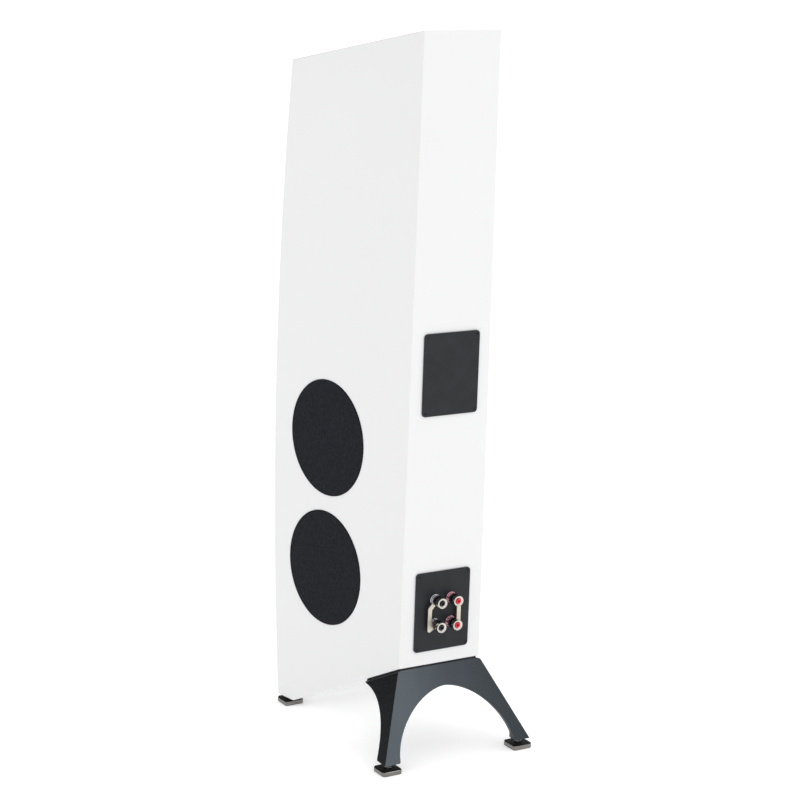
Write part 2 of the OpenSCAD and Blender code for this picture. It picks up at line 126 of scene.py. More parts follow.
def add_node(tree, kind, inputs=(), **settings):
    """Adds a shader node with some settings. Its inputs get sockets to link, or plain values."""
    node = tree.nodes.new("ShaderNode" + kind)
    for key, value in settings.items():
        setattr(node, key, value)
    for key, value in dict(inputs).items():
        if isinstance(value, bpy.types.NodeSocket):
            tree.links.new(value, node.inputs[key])
        else:
            node.inputs[key].default_value = value
    return node


def calculate(tree, operation, *values):
    """The result of a Math node."""
    return add_node(tree, "Math", enumerate(values), operation=operation).outputs[0]


def noise_at(tree, coords, scale, detail):
    """A noise texture's value."""
    inputs = {"Vector": coords, "Scale": scale, "Detail": detail}
    return add_node(tree, "TexNoise", inputs).outputs["Fac"]


def knit(tree, coords, pitch, fine):
    """Crossed rows of loops, pitch apart in Y and Z, roughened by the fine noise."""
    split = add_node(tree, "SeparateXYZ", {"Vector": coords})
    waves = []
    for axis in ("Y", "Z"):
        angle = calculate(tree, "MULTIPLY", split.outputs[axis], 2 * math.pi / pitch)
        waves.append(calculate(tree, "SINE", angle))
    cells = calculate(tree, "MULTIPLY", *waves)
    return calculate(tree, "MULTIPLY_ADD", cells, LOOP_HEIGHT, fine)


def tinted(tree, tone, colour, spread):
    """The colour, darker by spread where the tone is low and lighter by it where it is high."""
    ramp = add_node(tree, "ValToRGB", {"Fac": tone})
    for element, k, at in zip(ramp.color_ramp.elements, (1 - spread, 1 + spread), (0.35, 0.65)):
        element.position = at
        element.color = (*(min(1, c * k) for c in colour), 1)
    return ramp.outputs["Color"]


def surface(name, colour, rough, metal=0.0, spread=0.05, patch=30, grain=900, bump=0.15,
            depth=0.05 * MM, stretch=(1, 1, 1), weave=0.0, wear=0.15, **shader):
    """A Principled material with slow colour variation, fine grain in roughness, and bump.

    spread and wear are the shares by which colour and roughness vary. patch and grain are the
    scales of the slow and the fine noise, depth is the bump's height and weave a cloth's pitch.
    """
    mat = bpy.data.materials.new(name)
    mat.use_nodes = True
    tree = mat.node_tree
    coords = add_node(tree, "TexCoord").outputs["Object"]
    if stretch != (1, 1, 1):
        coords = add_node(tree, "Mapping", {"Vector": coords, "Scale": stretch}).outputs["Vector"]
    tone = noise_at(tree, coords, patch, 3)
    fine = noise_at(tree, coords, grain, 2)
    height = fine
    if weave:
        height = knit(tree, coords, weave, fine)
        tone = add_node(tree, "Mix", {"Factor": WEAVE_TONE, 2: tone, 3: height}).outputs[0]
    worn = {"Value": fine, "To Min": rough * (1 - wear), "To Max": min(1, rough * (1 + wear))}
    relief = {"Height": height, "Strength": bump, "Distance": depth}
    bsdf = tree.nodes["Principled BSDF"]
    bsdf.inputs["Metallic"].default_value = metal
    for key, value in shader.items():
        bsdf.inputs[key.replace("_", " ")].default_value = value
    tree.links.new(tinted(tree, tone, colour, spread), bsdf.inputs["Base Color"])
    tree.links.new(add_node(tree, "MapRange", worn).outputs["Result"], bsdf.inputs["Roughness"])
    tree.links.new(add_node(tree, "Bump", relief).outputs["Normal"], bsdf.inputs["Normal"])
    return mat


LACQUER = surface("white_lacquer", (0.772, 0.774, 0.78), 0.2, spread=0.004, patch=6, grain=90,
                  wear=0.02, bump=0.03, depth=0.02 * MM, Coat_Weight=1.0, Coat_Roughness=0.04)
MDF = surface("mdf", (0.50, 0.38, 0.25), 0.8, spread=0.2, patch=350, grain=1500, bump=0.4)
WADDING = surface("wadding", (0.80, 0.79, 0.76), 0.95, spread=0.12, patch=90, grain=700,
                  bump=0.9, depth=0.6 * MM, Sheen_Weight=0.4)
CLOTH = surface("grille_cloth", (0.0075, 0.0085, 0.0125), 0.9, spread=0.8, patch=240, grain=900,
                bump=0.5, depth=0.15 * MM, weave=1.1 * MM, Sheen_Weight=0.04,
                Specular_IOR_Level=0.15)
GRILLE = surface("grille_plastic", (0.035, 0.036, 0.04), 0.45, grain=1200)
PLATE = surface("black_plate", (0.0115, 0.0135, 0.0165), 0.5, spread=0.15, patch=45, grain=2600,
                bump=0.35, depth=0.04 * MM, Specular_IOR_Level=0.3)
SCREW = surface("black_steel", (0.008, 0.008, 0.009), 0.22, metal=0.3, spread=0.25, patch=400)
STAND = surface("stand_metal", (0.041, 0.048, 0.054), 0.27, metal=1.0, spread=0.06, patch=20,
                grain=1600, bump=0.12, depth=0.02 * MM, stretch=(1, 1, 0.25))
GASKET = surface("gasket_rubber", (0.012, 0.012, 0.013), 0.75, spread=0.2, patch=200)
PAD_METAL = surface("pad_metal", (0.21, 0.20, 0.19), 0.14, metal=1.0, spread=0.12, grain=2400,
                    bump=0.08, stretch=(1, 1, 6))
PAD_BLACK = surface("pad_black", (0.003, 0.003, 0.0033), 0.45, spread=0.3, grain=600, bump=0.03,
                    Specular_IOR_Level=0.04)
STEEL = surface("spindle_steel", (0.55, 0.55, 0.54), 0.28, metal=1.0, spread=0.08, grain=2000)
BRASS = surface("insert_brass", (0.70, 0.52, 0.22), 0.35, metal=1.0, spread=0.1, patch=120)
GOLD = surface("jumper_metal", (0.66, 0.60, 0.51), 0.45, metal=0.7, spread=0.04, patch=120,
               grain=1800, bump=0.1, stretch=(6, 6, 1))
RHODIUM = surface("post_metal", (0.62, 0.59, 0.55), 0.14, metal=1.0, spread=0.05, patch=150)
DARK_CHROME = surface("post_dark", (0.05, 0.05, 0.055), 0.16, metal=1.0, spread=0.15, patch=150)
SILVER_TINT = surface("post_silver_tint", (0.55, 0.55, 0.60), 0.1, metal=1.0, spread=0.15,
                      patch=200)
RED_TINT = surface("post_red_tint", (0.76, 0.40, 0.48), 0.1, metal=1.0, spread=0.15, patch=200)
BLACK_INSERT = surface("insert_black", (0.01, 0.01, 0.011), 0.4, spread=0.2, patch=300)
RED_INSERT = surface("insert_red", (0.70, 0.02, 0.035), 0.35, spread=0.12, patch=300)
BASKET = surface("basket", (0.02, 0.02, 0.022), 0.5, spread=0.2, patch=80, grain=1600, bump=0.3)
MAGNET = surface("magnet_steel", (0.10, 0.10, 0.105), 0.4, metal=0.7, spread=0.3, patch=60)
CONE = surface("cone", (0.035, 0.035, 0.038), 0.6, spread=0.3, patch=500, grain=1400, bump=0.6,
               depth=0.12 * MM)
RUBBER = surface("surround_rubber", (0.012, 0.012, 0.013), 0.6, spread=0.2, patch=120, bump=0.2)
COPPER = surface("copper", (0.72, 0.36, 0.16), 0.3, metal=1.0, spread=0.12, patch=900)
SPIDER = surface("spider_cloth", (0.55, 0.36, 0.12), 0.85, spread=0.25, patch=600, grain=1500,
                 bump=0.7, depth=0.15 * MM, weave=0.7 * MM)
TWEETER_METAL = surface("tweeter_metal", (0.05, 0.05, 0.053), 0.38, metal=0.6, grain=2200)
DOME = surface("dome", (0.03, 0.03, 0.032), 0.7, spread=0.3, patch=900, grain=3000, bump=0.4,
               depth=0.05 * MM, Sheen_Weight=0.3)
BOARD = surface("circuit_board", (0.02, 0.13, 0.05), 0.3, spread=0.25, patch=250, grain=900)
FILM = surface("capacitor_film", (0.55, 0.36, 0.08), 0.35, spread=0.1, patch=200)
CERAMIC = surface("resistor_ceramic", (0.72, 0.70, 0.64), 0.8, spread=0.08, patch=500, bump=0.3)


# ---- Mesh making ----

def linked(name, data):
    """A new object in the scene for the data."""
    obj = bpy.data.objects.new(name, data)
    bpy.context.scene.collection.objects.link(obj)
    return obj


def object_from(bm, name):
    """A new object in the scene that holds the bmesh."""
    mesh = bpy.data.meshes.new(name)
    bm.to_mesh(mesh)
    bm.free()
    return linked(name, mesh)


def shaded(bm):
    """Turns the faces outwards and makes them smooth, apart from sharp edges."""
    bmesh.ops.recalc_face_normals(bm, faces=bm.faces)
    for face in bm.faces:
        face.smooth = True
    for edge in bm.edges:
        edge.smooth = len(edge.link_faces) == 2 and edge.calc_face_angle(0) < SHARP


def piece(bm, name, materials, body, replaces=()):
    """Turns a bmesh into a named piece that rides on a body and stands for CAD nodes."""
    shaded(bm)
    obj = object_from(bm, name)
    for mat in materials:
        obj.data.materials.append(mat)
    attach(obj, body)
    if replaces:
        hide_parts(*replaces)
    weighted = obj.modifiers.new("weighted_normals", "WEIGHTED_NORMAL")
    weighted.keep_sharp = True
    return obj


def scaled(points):
    """Radii and heights given in millimetres, in metres. A third value is a flute's depth."""
    return [(flute(r * MM, depth[0] * MM) if depth else r * MM, z * MM) for r, z, *depth in points]


def flute(r, depth, count=12):
    """Radius of a grip with that many shallow flutes."""
    return lambda a: r - depth * max(0, math.cos(count * a)) ** 2


def spun(bm, place, profile, steps=64, closed=True, mat=0):
    """Revolves (radius, height) points about a frame's +Z. A radius may be a function of the angle."""
    rings = []
    for radius, z in profile:
        if not callable(radius) and radius < 1e-9:
            rings.append([bm.verts.new(place @ Vector((0, 0, z)))])
            continue
        ring = []
        for i in range(steps):
            a = 2 * math.pi * i / steps
            r = radius(a) if callable(radius) else radius
            ring.append(bm.verts.new(place @ Vector((r * math.cos(a), r * math.sin(a), z))))
        rings.append(ring)
    pairs = list(zip(rings, rings[1:])) + ([(rings[-1], rings[0])] if closed else [])
    for low, high in pairs:
        if len(low) == 1 and len(high) == 1:
            continue
        for i in range(steps):
            j = (i + 1) % steps
            corners = [low[i % len(low)], low[j % len(low)], high[j % len(high)], high[i % len(high)]]
            face = bm.faces.new(list(dict.fromkeys(corners)))
            face.material_index = mat


def prism(bm, place, outline, z0, z1, mat=0):
    """A closed prism over a flat outline, drawn in a frame's X and Y."""
    low, high = ([bm.verts.new(place @ Vector((x, y, z))) for x, y in outline] for z in (z0, z1))
    faces = [bm.faces.new(low[::-1]), bm.faces.new(high)]
    for i in range(len(outline)):
        j = (i + 1) % len(outline)
        faces.append(bm.faces.new((low[i], low[j], high[j], high[i])))
    for face in faces:
        face.material_index = mat


def polygon_radius(sides, across):
    """Radius of a regular polygon, with its flats that far apart."""
    half = math.pi / sides
    return lambda a: across / 2 / math.cos((a % (2 * half)) - half)


def cross_radius(arm, width):
    """Radius of a plus-shaped recess."""
    def radius(a):
        c, s = abs(math.cos(a)) + 1e-9, abs(math.sin(a)) + 1e-9
        return max(min(arm / c, width / 2 / s), min(arm / s, width / 2 / c))
    return radius


def square_radius(half, corner):
    """Radius of a square with rounded corners."""
    def radius(a):
        c, s = abs(math.cos(a)), abs(math.sin(a))
        straight = half / max(c, s)
        if min(c, s) * straight <= half - corner:
            return straight
        k = (half - corner) * (c + s)
        return k + math.sqrt(max(0, k * k - 2 * (half - corner) ** 2 + corner ** 2))
    return radius


def rounded_box(w, h, corner, steps=8):
    """Outline of a rectangle with rounded corners, anticlockwise."""
    points = []
    for k, (sx, sy) in enumerate(((1, 1), (-1, 1), (-1, -1), (1, -1))):
        for i in range(steps + 1):
            a = math.pi / 2 * (k + i / steps)
            points.append((sx * (w / 2 - corner) + corner * math.cos(a),
                           sy * (h / 2 - corner) + corner * math.sin(a)))
    return points


THREAD_DEPTH = 0.45  # as a share of the pitch
RINGS_PER_TURN = 6


def thread(bm, place, r, pitch, z0, z1, steps=32):
    """A screw thread as one closed helical surface, plain at both ends."""
    root = r - THREAD_DEPTH * pitch
    count = max(2, round((z1 - z0) / pitch * RINGS_PER_TURN))
    heights = [z0 + (z1 - z0) * i / count for i in range(1, count)]
    turns = [(helix(r, pitch, z), z) for z in heights]
    spun(bm, place, [(0, z0), (root, z0), *turns, (root, z1), (0, z1)], steps, closed=False)


def helix(r, pitch, z):
    """Radius of a thread at height z, as a function of the angle."""
    def radius(a):
        phase = (z / pitch - a / (2 * math.pi)) % 1
        return r - THREAD_DEPTH * pitch * abs(2 * phase - 1)
    return radius


def from_cad(node, bevel, mat, first=()):
    """A piece with the node's own shape, its triangles joined into faces and its edges eased.

    first holds pairs of a function that finds edges and the width of their wider rounding.
    """
    bm = bmesh.new()
    bm.from_mesh(frame["nodes"][node].data)
    bmesh.ops.remove_doubles(bm, verts=bm.verts, dist=WELD)
    bmesh.ops.dissolve_limit(bm, angle_limit=FLAT, verts=bm.verts, edges=bm.edges)
    for find, width in first:
        bmesh.ops.bevel(bm, geom=find(bm), offset=width, segments=5, profile=0.5, affect="EDGES")
    edges = [e for e in bm.edges if len(e.link_faces) == 2 and e.calc_face_angle(0) > SHARP]
    bmesh.ops.bevel(bm, geom=edges, offset=bevel, segments=2, profile=0.5,
                    affect="EDGES", clamp_overlap=True)
    return piece(bm, node + "_shape", [mat], frame["nodes"][node]["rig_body"], [node])


# ---- Cabinet ----

# The back's lower edge, and half its width there with how fast it narrows upward.
REAR_Y, REAR_Z = 142.25 * MM, 154 * MM
HALF_REAR, TAPER = 78 * MM, 7.5 / 1046
# The back's lean, the sides' opening towards the front, and the top's slope.
LEAN, FLARE, TOP_SLOPE = math.radians(2), math.radians(8.4), math.radians(10.1)
# The overall height, and the toe's distance from the back and its height.
HEIGHT, TOE_DEPTH, TOE_Z = 1200 * MM, 296 * MM, 13.3 * MM
SLOPE = math.atan((REAR_Z - TOE_Z) / TOE_DEPTH)
# The front's curve: its radius, and the height and depth of its foremost point.
FRONT_R, FRONT_Z, FRONT_DEPTH = 5900 * MM, 408 * MM, 354 * MM
FRONT_STEPS = 60
SIDE_T, BAFFLE_T, PANEL_T = 28 * MM, 28 * MM, 22 * MM
# The stand's bolts: x, and the distance forward along the underside, in millimetres.
BOLTS = ((-45, 30), (45, 30), (-50, 72), (50, 72))
# Where cutters for the drivers start and end, and how much a hole's mouth is eased, in millimetres.
INSIDE, OUTSIDE, EASE = -60, 30, 0.5
SOLVE_STEPS = 12


def half_width(y, z, inset):
    """Half the cabinet's width, less a side's thickness."""
    rise = z - REAR_Z
    return (HALF_REAR + math.tan(FLARE) * (REAR_Y + rise * math.tan(LEAN) - y)
            - TAPER * rise - inset / SIDE_N.x)


def front_y(z, inset):
    """The curved front's y at a height, less the baffle's thickness."""
    return (REAR_Y - FRONT_DEPTH + FRONT_R
            - math.sqrt((FRONT_R - inset) ** 2 - (z - FRONT_Z) ** 2))


def meet_front(line, inset):
    """Height at which the front's curve meets a line z(y)."""
    z = line(REAR_Y - FRONT_DEPTH)
    for _ in range(SOLVE_STEPS):
        z = line(front_y(z, inset))
    return z


def cabinet_outline(baffle, panel):
    """Side view of the cabinet, or of its cavity, from the rear bottom corner forward and round."""
    top_y = REAR_Y + (HEIGHT - REAR_Z) * math.tan(LEAN)

    def under(y):
        return REAR_Z - (REAR_Y - y) * math.tan(SLOPE) + panel / math.cos(SLOPE)

    def top(y):
        return HEIGHT - (top_y - y) * math.tan(TOP_SLOPE) - panel / math.cos(TOP_SLOPE)

    def corner(line):
        """Where a line z(y) meets the leaning back."""
        y = REAR_Y
        for _ in range(SOLVE_STEPS):
            y = REAR_Y + (line(y) - REAR_Z) * math.tan(LEAN) - panel / math.cos(LEAN)
        return y, line(y)

    points = [corner(under)]
    low = max(TOE_Z, meet_front(under, baffle))
    if not panel:
        points.append((REAR_Y - TOE_DEPTH, TOE_Z))
    high = meet_front(top, baffle)
    for i in range(FRONT_STEPS + 1):
        z = low + (high - low) * i / FRONT_STEPS
        points.append((front_y(z, baffle), z))
    return points + [corner(top)]


def cabinet_form(baffle, side, panel):
    """The cabinet as a closed form, or its cavity when the walls' thicknesses are given."""
    bm = bmesh.new()
    outline = cabinet_outline(baffle, panel)
    right, left = ([bm.verts.new((s * half_width(y, z, side), y, z)) for y, z in outline]
                   for s in (1, -1))
    bm.faces.new(right)
    bm.faces.new(left[::-1])
    for i in range(len(outline)):
        j = (i + 1) % len(outline)
        bm.faces.new((right[j], right[i], left[i], left[j]))
    bmesh.ops.recalc_face_normals(bm, faces=bm.faces)
    return bm


def drill(bm, place, radius, low, high, steps):
    """A round cutter, in millimetres."""
    profile = scaled([(0, low), (radius, low), (radius, high), (0, high)])
    spun(bm, place, profile, steps, closed=False)


def recess(bm, place, ledges, mouth, steps):
    """A cutter that widens at the top of each (radius, top) ledge, to an eased mouth. Millimetres."""
    profile = [(0, INSIDE)]
    bottom = INSIDE
    for radius, top in ledges:
        profile += [(radius, bottom), (radius, top)]
        bottom = top
    wide = mouth + 2.2 * EASE
    profile += [(mouth, bottom), (mouth, -EASE), (wide, 1.2 * EASE), (wide, OUTSIDE), (0, OUTSIDE)]
    spun(bm, place, scaled(profile), steps, closed=False)


def cabinet_holes():
    """Every hole in the cabinet, as closed cutters in one mesh."""
    bm = bmesh.new()
    for place in WOOFERS.values():
        recess(bm, place, [(84, -17), (94.3, -12)], 100, 144)
    recess(bm, MID, [(60.5, -4.1)], 67.9, 128)
    recess(bm, TWEETER, [(38, -4.5)], 50.3, 128)
    for place in (TERMINAL, COVER):
        prism(bm, place, rounded_box(86 * MM, 119 * MM, 4 * MM), INSIDE * MM, 8 * MM)
    for spot in SCREW_SPOTS:
        drill(bm, spot, 1.85, -14.2, 8, 24)
    for x, depth in BOLTS:
        drill(bm, under_frame(x, depth), 4, -18, 8, 32)
    for foot in FEET[2:]:
        drill(bm, foot_frame(foot), 8, 0, 46, 48)
    return bm


def under_frame(x, depth):
    """A frame on the sloping underside, x from the middle and depth forward of the rear edge."""
    place = Matrix.Translation((x * MM, REAR_Y - depth * MM * math.cos(SLOPE),
                                REAR_Z - depth * MM * math.sin(SLOPE)))
    return place @ Matrix.Rotation(SLOPE - math.pi, 4, "X")


def foot_frame(foot):
    """A frame on the floor, under the middle of a foot's pad."""
    low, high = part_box("pad_" + foot)
    return Matrix.Translation(((low.x + high.x) / 2, (low.y + high.y) / 2, low.z))


def carve(bm, cutters):
    """Cuts each cutter bmesh from bm with an exact boolean, and returns the result as a bmesh."""
    for source in (bm, *cutters):
        bmesh.ops.recalc_face_normals(source, faces=source.faces)
    work = object_from(bm, "work")
    tools = [object_from(cutter, "cutter") for cutter in cutters]
    for tool in tools:
        cut = work.modifiers.new("cut", "BOOLEAN")
        cut.operation = "DIFFERENCE"
        cut.solver = "EXACT"
        cut.object = tool
    evaluated = work.evaluated_get(bpy.context.evaluated_depsgraph_get())
    result = bmesh.new()
    result.from_mesh(evaluated.to_mesh())
    evaluated.to_mesh_clear()
    for obj in [work, *tools]:
        bpy.data.objects.remove(obj)
    return result


def make_cabinet():
    """The lacquered shell, hollow and with its edges eased."""
    outer = cabinet_form(0, 0, 0)
    edges = [e for e in outer.edges if e.calc_face_angle(0) > SHARP / 3]
    bmesh.ops.bevel(outer, geom=edges, offset=1.1 * MM, segments=3, profile=0.5, affect="EDGES")
    shell = carve(outer, [cabinet_form(BAFFLE_T, SIDE_T, PANEL_T), cabinet_holes()])
    piece(shell, "cabinet_shell", [LACQUER], "cabinet",
          ["side_panel_left", "side_panel_right", "back_panel", "top_panel", "bottom_panel",
           "front_baffle"])


# ---- Woofer grilles and the parts behind them ----

GRILLE_R = 99.8 * MM
CLOTH_WRAP = 8 * MM       # how far the cloth reaches down the ring's side


def cloth_section():
    """Half the section of a stretched cloth: crowned, turned down over the ring, and lined."""
    crown = [(r, 1.55 + 0.35 * (r / 96) ** 2) for r in range(0, 97, 8)]
    turn = [(98.9 + 0.9 * math.sin(a), 0.9 + math.cos(a))
            for a in (math.radians(d) for d in range(0, 91, 15))]
    outer = scaled(crown + turn) + [(GRILLE_R, -CLOTH_WRAP)]

    def lining(r, z):
        on_side = z < 1.2 * MM
        on_end = z < -1 * MM
        return (r - 0.2 * MM if on_side else r), (z if on_end else z - 0.25 * MM)

    return outer + [lining(r, z) for r, z in outer[::-1]]


def make_grille(w):
    """A woofer's grille: a plastic ring, and the cloth stretched over it."""
    place = WOOFERS[w]
    bm = bmesh.new()
    spun(bm, place, scaled([(91, -11.7), (91.4, -12), (99.0, -12), (99.4, -11.6), (99.4, -0.4),
                            (98.6, 0.45), (91.6, 0.45), (91, -0.2)]), 144)
    piece(bm, f"grille_{w}_frame", [GRILLE], "cabinet", [f"grille_{w}_ring"])
    bm = bmesh.new()
    spun(bm, place, cloth_section(), 160, closed=False)
    cloth = piece(bm, f"grille_{w}_fabric", [CLOTH], "cabinet",
                  [f"grille_{w}_cloth"])


def make_spiders(steps=40, waves=7):
    """The corrugated cloth discs that centre the voice coils."""
    top = []
    for i in range(steps + 1):
        t = i / steps
        top.append((20.6 + 33.2 * t, -62.9 + 0.75 * math.sin(2 * math.pi * waves * t)))
    underside = [(r, z - 0.45) for r, z in top[::-1]]
    bm = bmesh.new()
    for place in WOOFERS.values():
        spun(bm, place, scaled(top + underside), 72)
    piece(bm, "woofer_spider_pair", [SPIDER], "cabinet", ["woofer_spiders"])


# ---- Back plates, screws and binding posts ----

def cross_screw(bm, place, r, z):
    """A screw head with a slightly domed top at height z, a cross recess, and a plain shank."""
    recess_top = cross_radius(0.62 * r, 0.26 * r)
    recess_floor = cross_radius(0.45 * r, 0.2 * r)
    spun(bm, place, [(0.5 * r, z - 2.2 * MM), (r, z - 0.25 * MM), (0.93 * r, z),
                     (recess_top, z + 0.05 * MM), (recess_floor, z - 0.9 * MM),
                     (0, z - 1.1 * MM)], 64, closed=False)
    spun(bm, place, [(0, -14 * MM), (1.2 * MM, -13.6 * MM), (0.5 * r, -11 * MM),
                     (0.5 * r, z - 2.2 * MM)], 64, closed=False)


def make_plate_screws():
    """The plates' eight screws, each turned its own way."""
    bm = bmesh.new()
    turns = (12, 40, 71, 25, 58, 5, 33, 80)
    for spot, turn in zip(SCREW_SPOTS, turns):
        cross_screw(bm, spot @ Matrix.Rotation(math.radians(turn), 4, "Z"), 3.5 * MM, 2.95 * MM)
    bmesh.ops.remove_doubles(bm, verts=bm.verts, dist=WELD / 2)
    piece(bm, "plate_screw_set", [SCREW], "cabinet", ["plate_screws"])


def make_collars():
    """The grooved bases under the straps, tinted like their posts."""
    bm = bmesh.new()
    profile = scaled([(4.02, 3), (9.1, 3), (9.5, 3.4), (9.5, 5.2), (9.1, 5.7), (8.5, 5.9), (8.5, 6.4),
                      (8.9, 6.7), (8.9, 8.3), (8.4, 8.95), (4.02, 8.95)])
    for p, place in POST_FRAMES.items():
        spun(bm, place, profile, 64, mat=int(p.startswith("red")))
    piece(bm, "post_collar_set", [SILVER_TINT, RED_TINT], "cabinet",
          ["post_collars"])


def make_studs():
    """Threaded rods, with a hexagonal nut inside the cabinet and a lined 4 mm socket outside."""
    bm = bmesh.new()
    nut = polygon_radius(6, 12.9 * MM)
    for p, place in POST_FRAMES.items():
        thread(bm, place, 3.98 * MM, 0.8 * MM, -20 * MM, 9.4 * MM)
        spun(bm, place, [(3.98 * MM, -8 * MM), (6.3 * MM, -8 * MM), (nut, -7.6 * MM),
                         (nut, -0.4 * MM), (6.3 * MM, 0), (3.98 * MM, 0)], 48)
        spun(bm, place, scaled([(2.9, 9.4), (3.55, 9.4), (3.9, 9.8), (3.9, 25.3), (2.9, 25.3)]), 48)
        liner = [(2.02, 9.6), (2.85, 9.6), (2.85, 25.4), (3.95, 25.4), (3.95, 29.1), (3.6, 29.45),
                 (2.5, 29.45), (2.02, 28.8)]
        spun(bm, place, scaled(liner), 48, mat=2 if p.startswith("red") else 1)
    piece(bm, "post_stud_set", [RHODIUM, BLACK_INSERT, RED_INSERT], "cabinet",
          ["post_studs"])


def make_knob(p):
    """A dark fluted grip, a bright end ring, and a coloured ring inside it."""
    place = POST_FRAMES[p]
    bm = bmesh.new()
    grip = scaled([(4.06, 12.05), (8.3, 12.05), (8.8, 12.6), (8.8, 13.6), (8.3, 14.0),
                   (8.7, 14.6, 0.3), (8.95, 15.4, 0.9), (8.95, 19.8, 0.9), (8.7, 20.8, 0.3),
                   (8.2, 21.4), (8.2, 22.2), (8.6, 22.7), (4.06, 22.7)])
    ring = scaled([(4.8, 22.8), (8.7, 22.8), (9.0, 23.3), (9.0, 28.4), (8.8, 29.0), (8.4, 29.4),
                   (7.9, 29.46), (5.5, 28.4), (4.8, 27.6)])
    liner = scaled([(4.06, 22.8), (4.75, 22.8), (4.75, 27.9), (4.06, 27.9)])
    for part, (profile, steps) in enumerate(((ring, 96), (grip, 96), (liner, 64))):
        spun(bm, place, profile, steps, mat=part)
    insert = RED_INSERT if p.startswith("red") else BLACK_INSERT
    piece(bm, f"knob_{p}_grip", [RHODIUM, DARK_CHROME, insert], "knob_" + p,
          ["knob_" + p])


# ---- Stand and feet ----

LEG_Z = 17.5 * MM                # the height of the legs' ends
LEG_INNER_X = 111 * MM           # where the arch meets them
LEG_FRONT_Y = REAR_Y + 36 * MM   # the front of the legs' ends
PAD_HALF, PAD_CORNER = 18 * MM, 5 * MM


def stand_corners(bm):
    """The two long edges between the stand's top and its sides."""
    found = []
    for e in bm.edges:
        normals = [f.normal for f in e.link_faces]
        is_top = any(n.z > 0.8 for n in normals)
        is_side = any(abs(n.x) > 0.6 for n in normals)
        if is_top and is_side and e.calc_length() > 30 * MM:
            found.append(e)
    return found


def leg_ends(bm):
    """The legs' lower corners: beside the arch on the rear wall, and at the front of each side."""
    near = 0.2 * MM
    return [e for e in bm.edges if all(abs(v.co.z - LEG_Z) < near for v in e.verts)
            and (all(abs(abs(v.co.x) - LEG_INNER_X) < near for v in e.verts)
                 or all(abs(v.co.y - LEG_FRONT_Y) < near for v in e.verts))]


def make_pad(foot):
    """A polished block with a black cap on top."""
    place = foot_frame(foot)
    bm = bmesh.new()

    def outline(inset):
        return square_radius(PAD_HALF - inset, PAD_CORNER - inset)

    spun(bm, place, [(5.2 * MM, 1.2 * MM), (10 * MM, 1.2 * MM), (11 * MM, 0), (outline(0.7 * MM), 0),
                     (outline(0), 0.7 * MM), (outline(0), 7.0 * MM), (outline(0.5 * MM), 7.6 * MM),
                     (5.2 * MM, 7.6 * MM)], 160)
    spun(bm, place, [(5.12 * MM, 7.6 * MM), (outline(0.6 * MM), 7.6 * MM),
                     (outline(0.6 * MM), 8.4 * MM), (outline(1.2 * MM), 8.98 * MM),
                     (5.12 * MM, 8.98 * MM)], 160, mat=1)
    return piece(bm, f"pad_{foot}_shape", [PAD_METAL, PAD_BLACK], "foot_" + foot,
                 ["pad_" + foot])


def make_spindle(foot):
    """A foot's threaded spindle, with a hexagon for the spanner above the pad."""
    place = foot_frame(foot)
    bm = bmesh.new()
    hexagon = polygon_radius(6, 12 * MM)
    thread(bm, place, 4.98 * MM, 1.5 * MM, 12.6 * MM, 29 * MM, 40)
    spun(bm, place, [(0, 4.1 * MM), (4.6 * MM, 4.1 * MM), (4.9 * MM, 4.5 * MM), (4.9 * MM, 9.4 * MM),
                     (5.6 * MM, 9.4 * MM), (hexagon, 9.8 * MM), (hexagon, 12.2 * MM),
                     (5.6 * MM, 12.6 * MM), (0, 12.6 * MM)], 48, closed=False)
    piece(bm, f"spindle_{foot}_screw", [STEEL], "spindle_" + foot,
          ["spindle_" + foot])


def make_stand_bolts():
    """Four bolts with hexagonal sockets that hold the stand to the underside."""
    bm = bmesh.new()
    hexagon = polygon_radius(6, 6 * MM)
    for x, depth in BOLTS:
        place = under_frame(x, depth)
        thread(bm, place, 3.98 * MM, 1.25 * MM, -17 * MM, 11 * MM)
        spun(bm, place, [(3.9 * MM, 11 * MM), (6.3 * MM, 11 * MM), (6.5 * MM, 11.4 * MM),
                         (6.5 * MM, 15.2 * MM), (5.8 * MM, 15.95 * MM), (hexagon, 15.95 * MM),
                         (hexagon, 12.6 * MM), (0, 12.4 * MM)], 48, closed=False)
    piece(bm, "stand_bolt_set", [SCREW], "cabinet", ["stand_bolts"])


# ---- Front drivers ----

def button_screws(name, place, ring_r, count, r, z, phase=0.0):
    """A ring of domed screws with hexagonal sockets."""
    bm = bmesh.new()
    socket = polygon_radius(6, 0.95 * r)
    for i in range(count):
        spot = (place @ Matrix.Rotation(phase + 2 * math.pi * i / count, 4, "Z")
                @ Matrix.Translation((ring_r, 0, 0)))
        spun(bm, spot, [(0, z - 1.5 * MM), (0.6 * r, z - 1.5 * MM), (r, z), (0.93 * r, z + 0.3 * r),
                        (0.7 * r, z + 0.48 * r), (socket, z + 0.5 * r), (socket, z + 0.05 * r),
                        (0, z + 0.02 * r)], 48, closed=False)
    piece(bm, name, [SCREW], "cabinet")


# ---- Inside ----

def make_wadding():
    """A block of bonded wadding, crowned between its edges and lumpy."""
    low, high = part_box("damping_pad")
    middle, half = (low + high) / 2, (high - low) / 2
    bm = bmesh.new()
    bmesh.ops.create_cube(bm, size=2)
    bmesh.ops.subdivide_edges(bm, edges=bm.edges, cuts=15, use_grid_fill=True)
    for v in bm.verts:
        corner = math.sqrt(sum(c ** 6 for c in v.co))
        p = v.co / max(1, corner ** 0.35)
        lump = 0.035 * noise.noise(p * 2.3) + 0.012 * noise.noise(p * 9)
        v.co = middle + Vector(p[i] * half[i] * (0.97 + lump) for i in range(3))
    pad = piece(bm, "damping_wadding", [WADDING], "cabinet", ["damping_pad"])


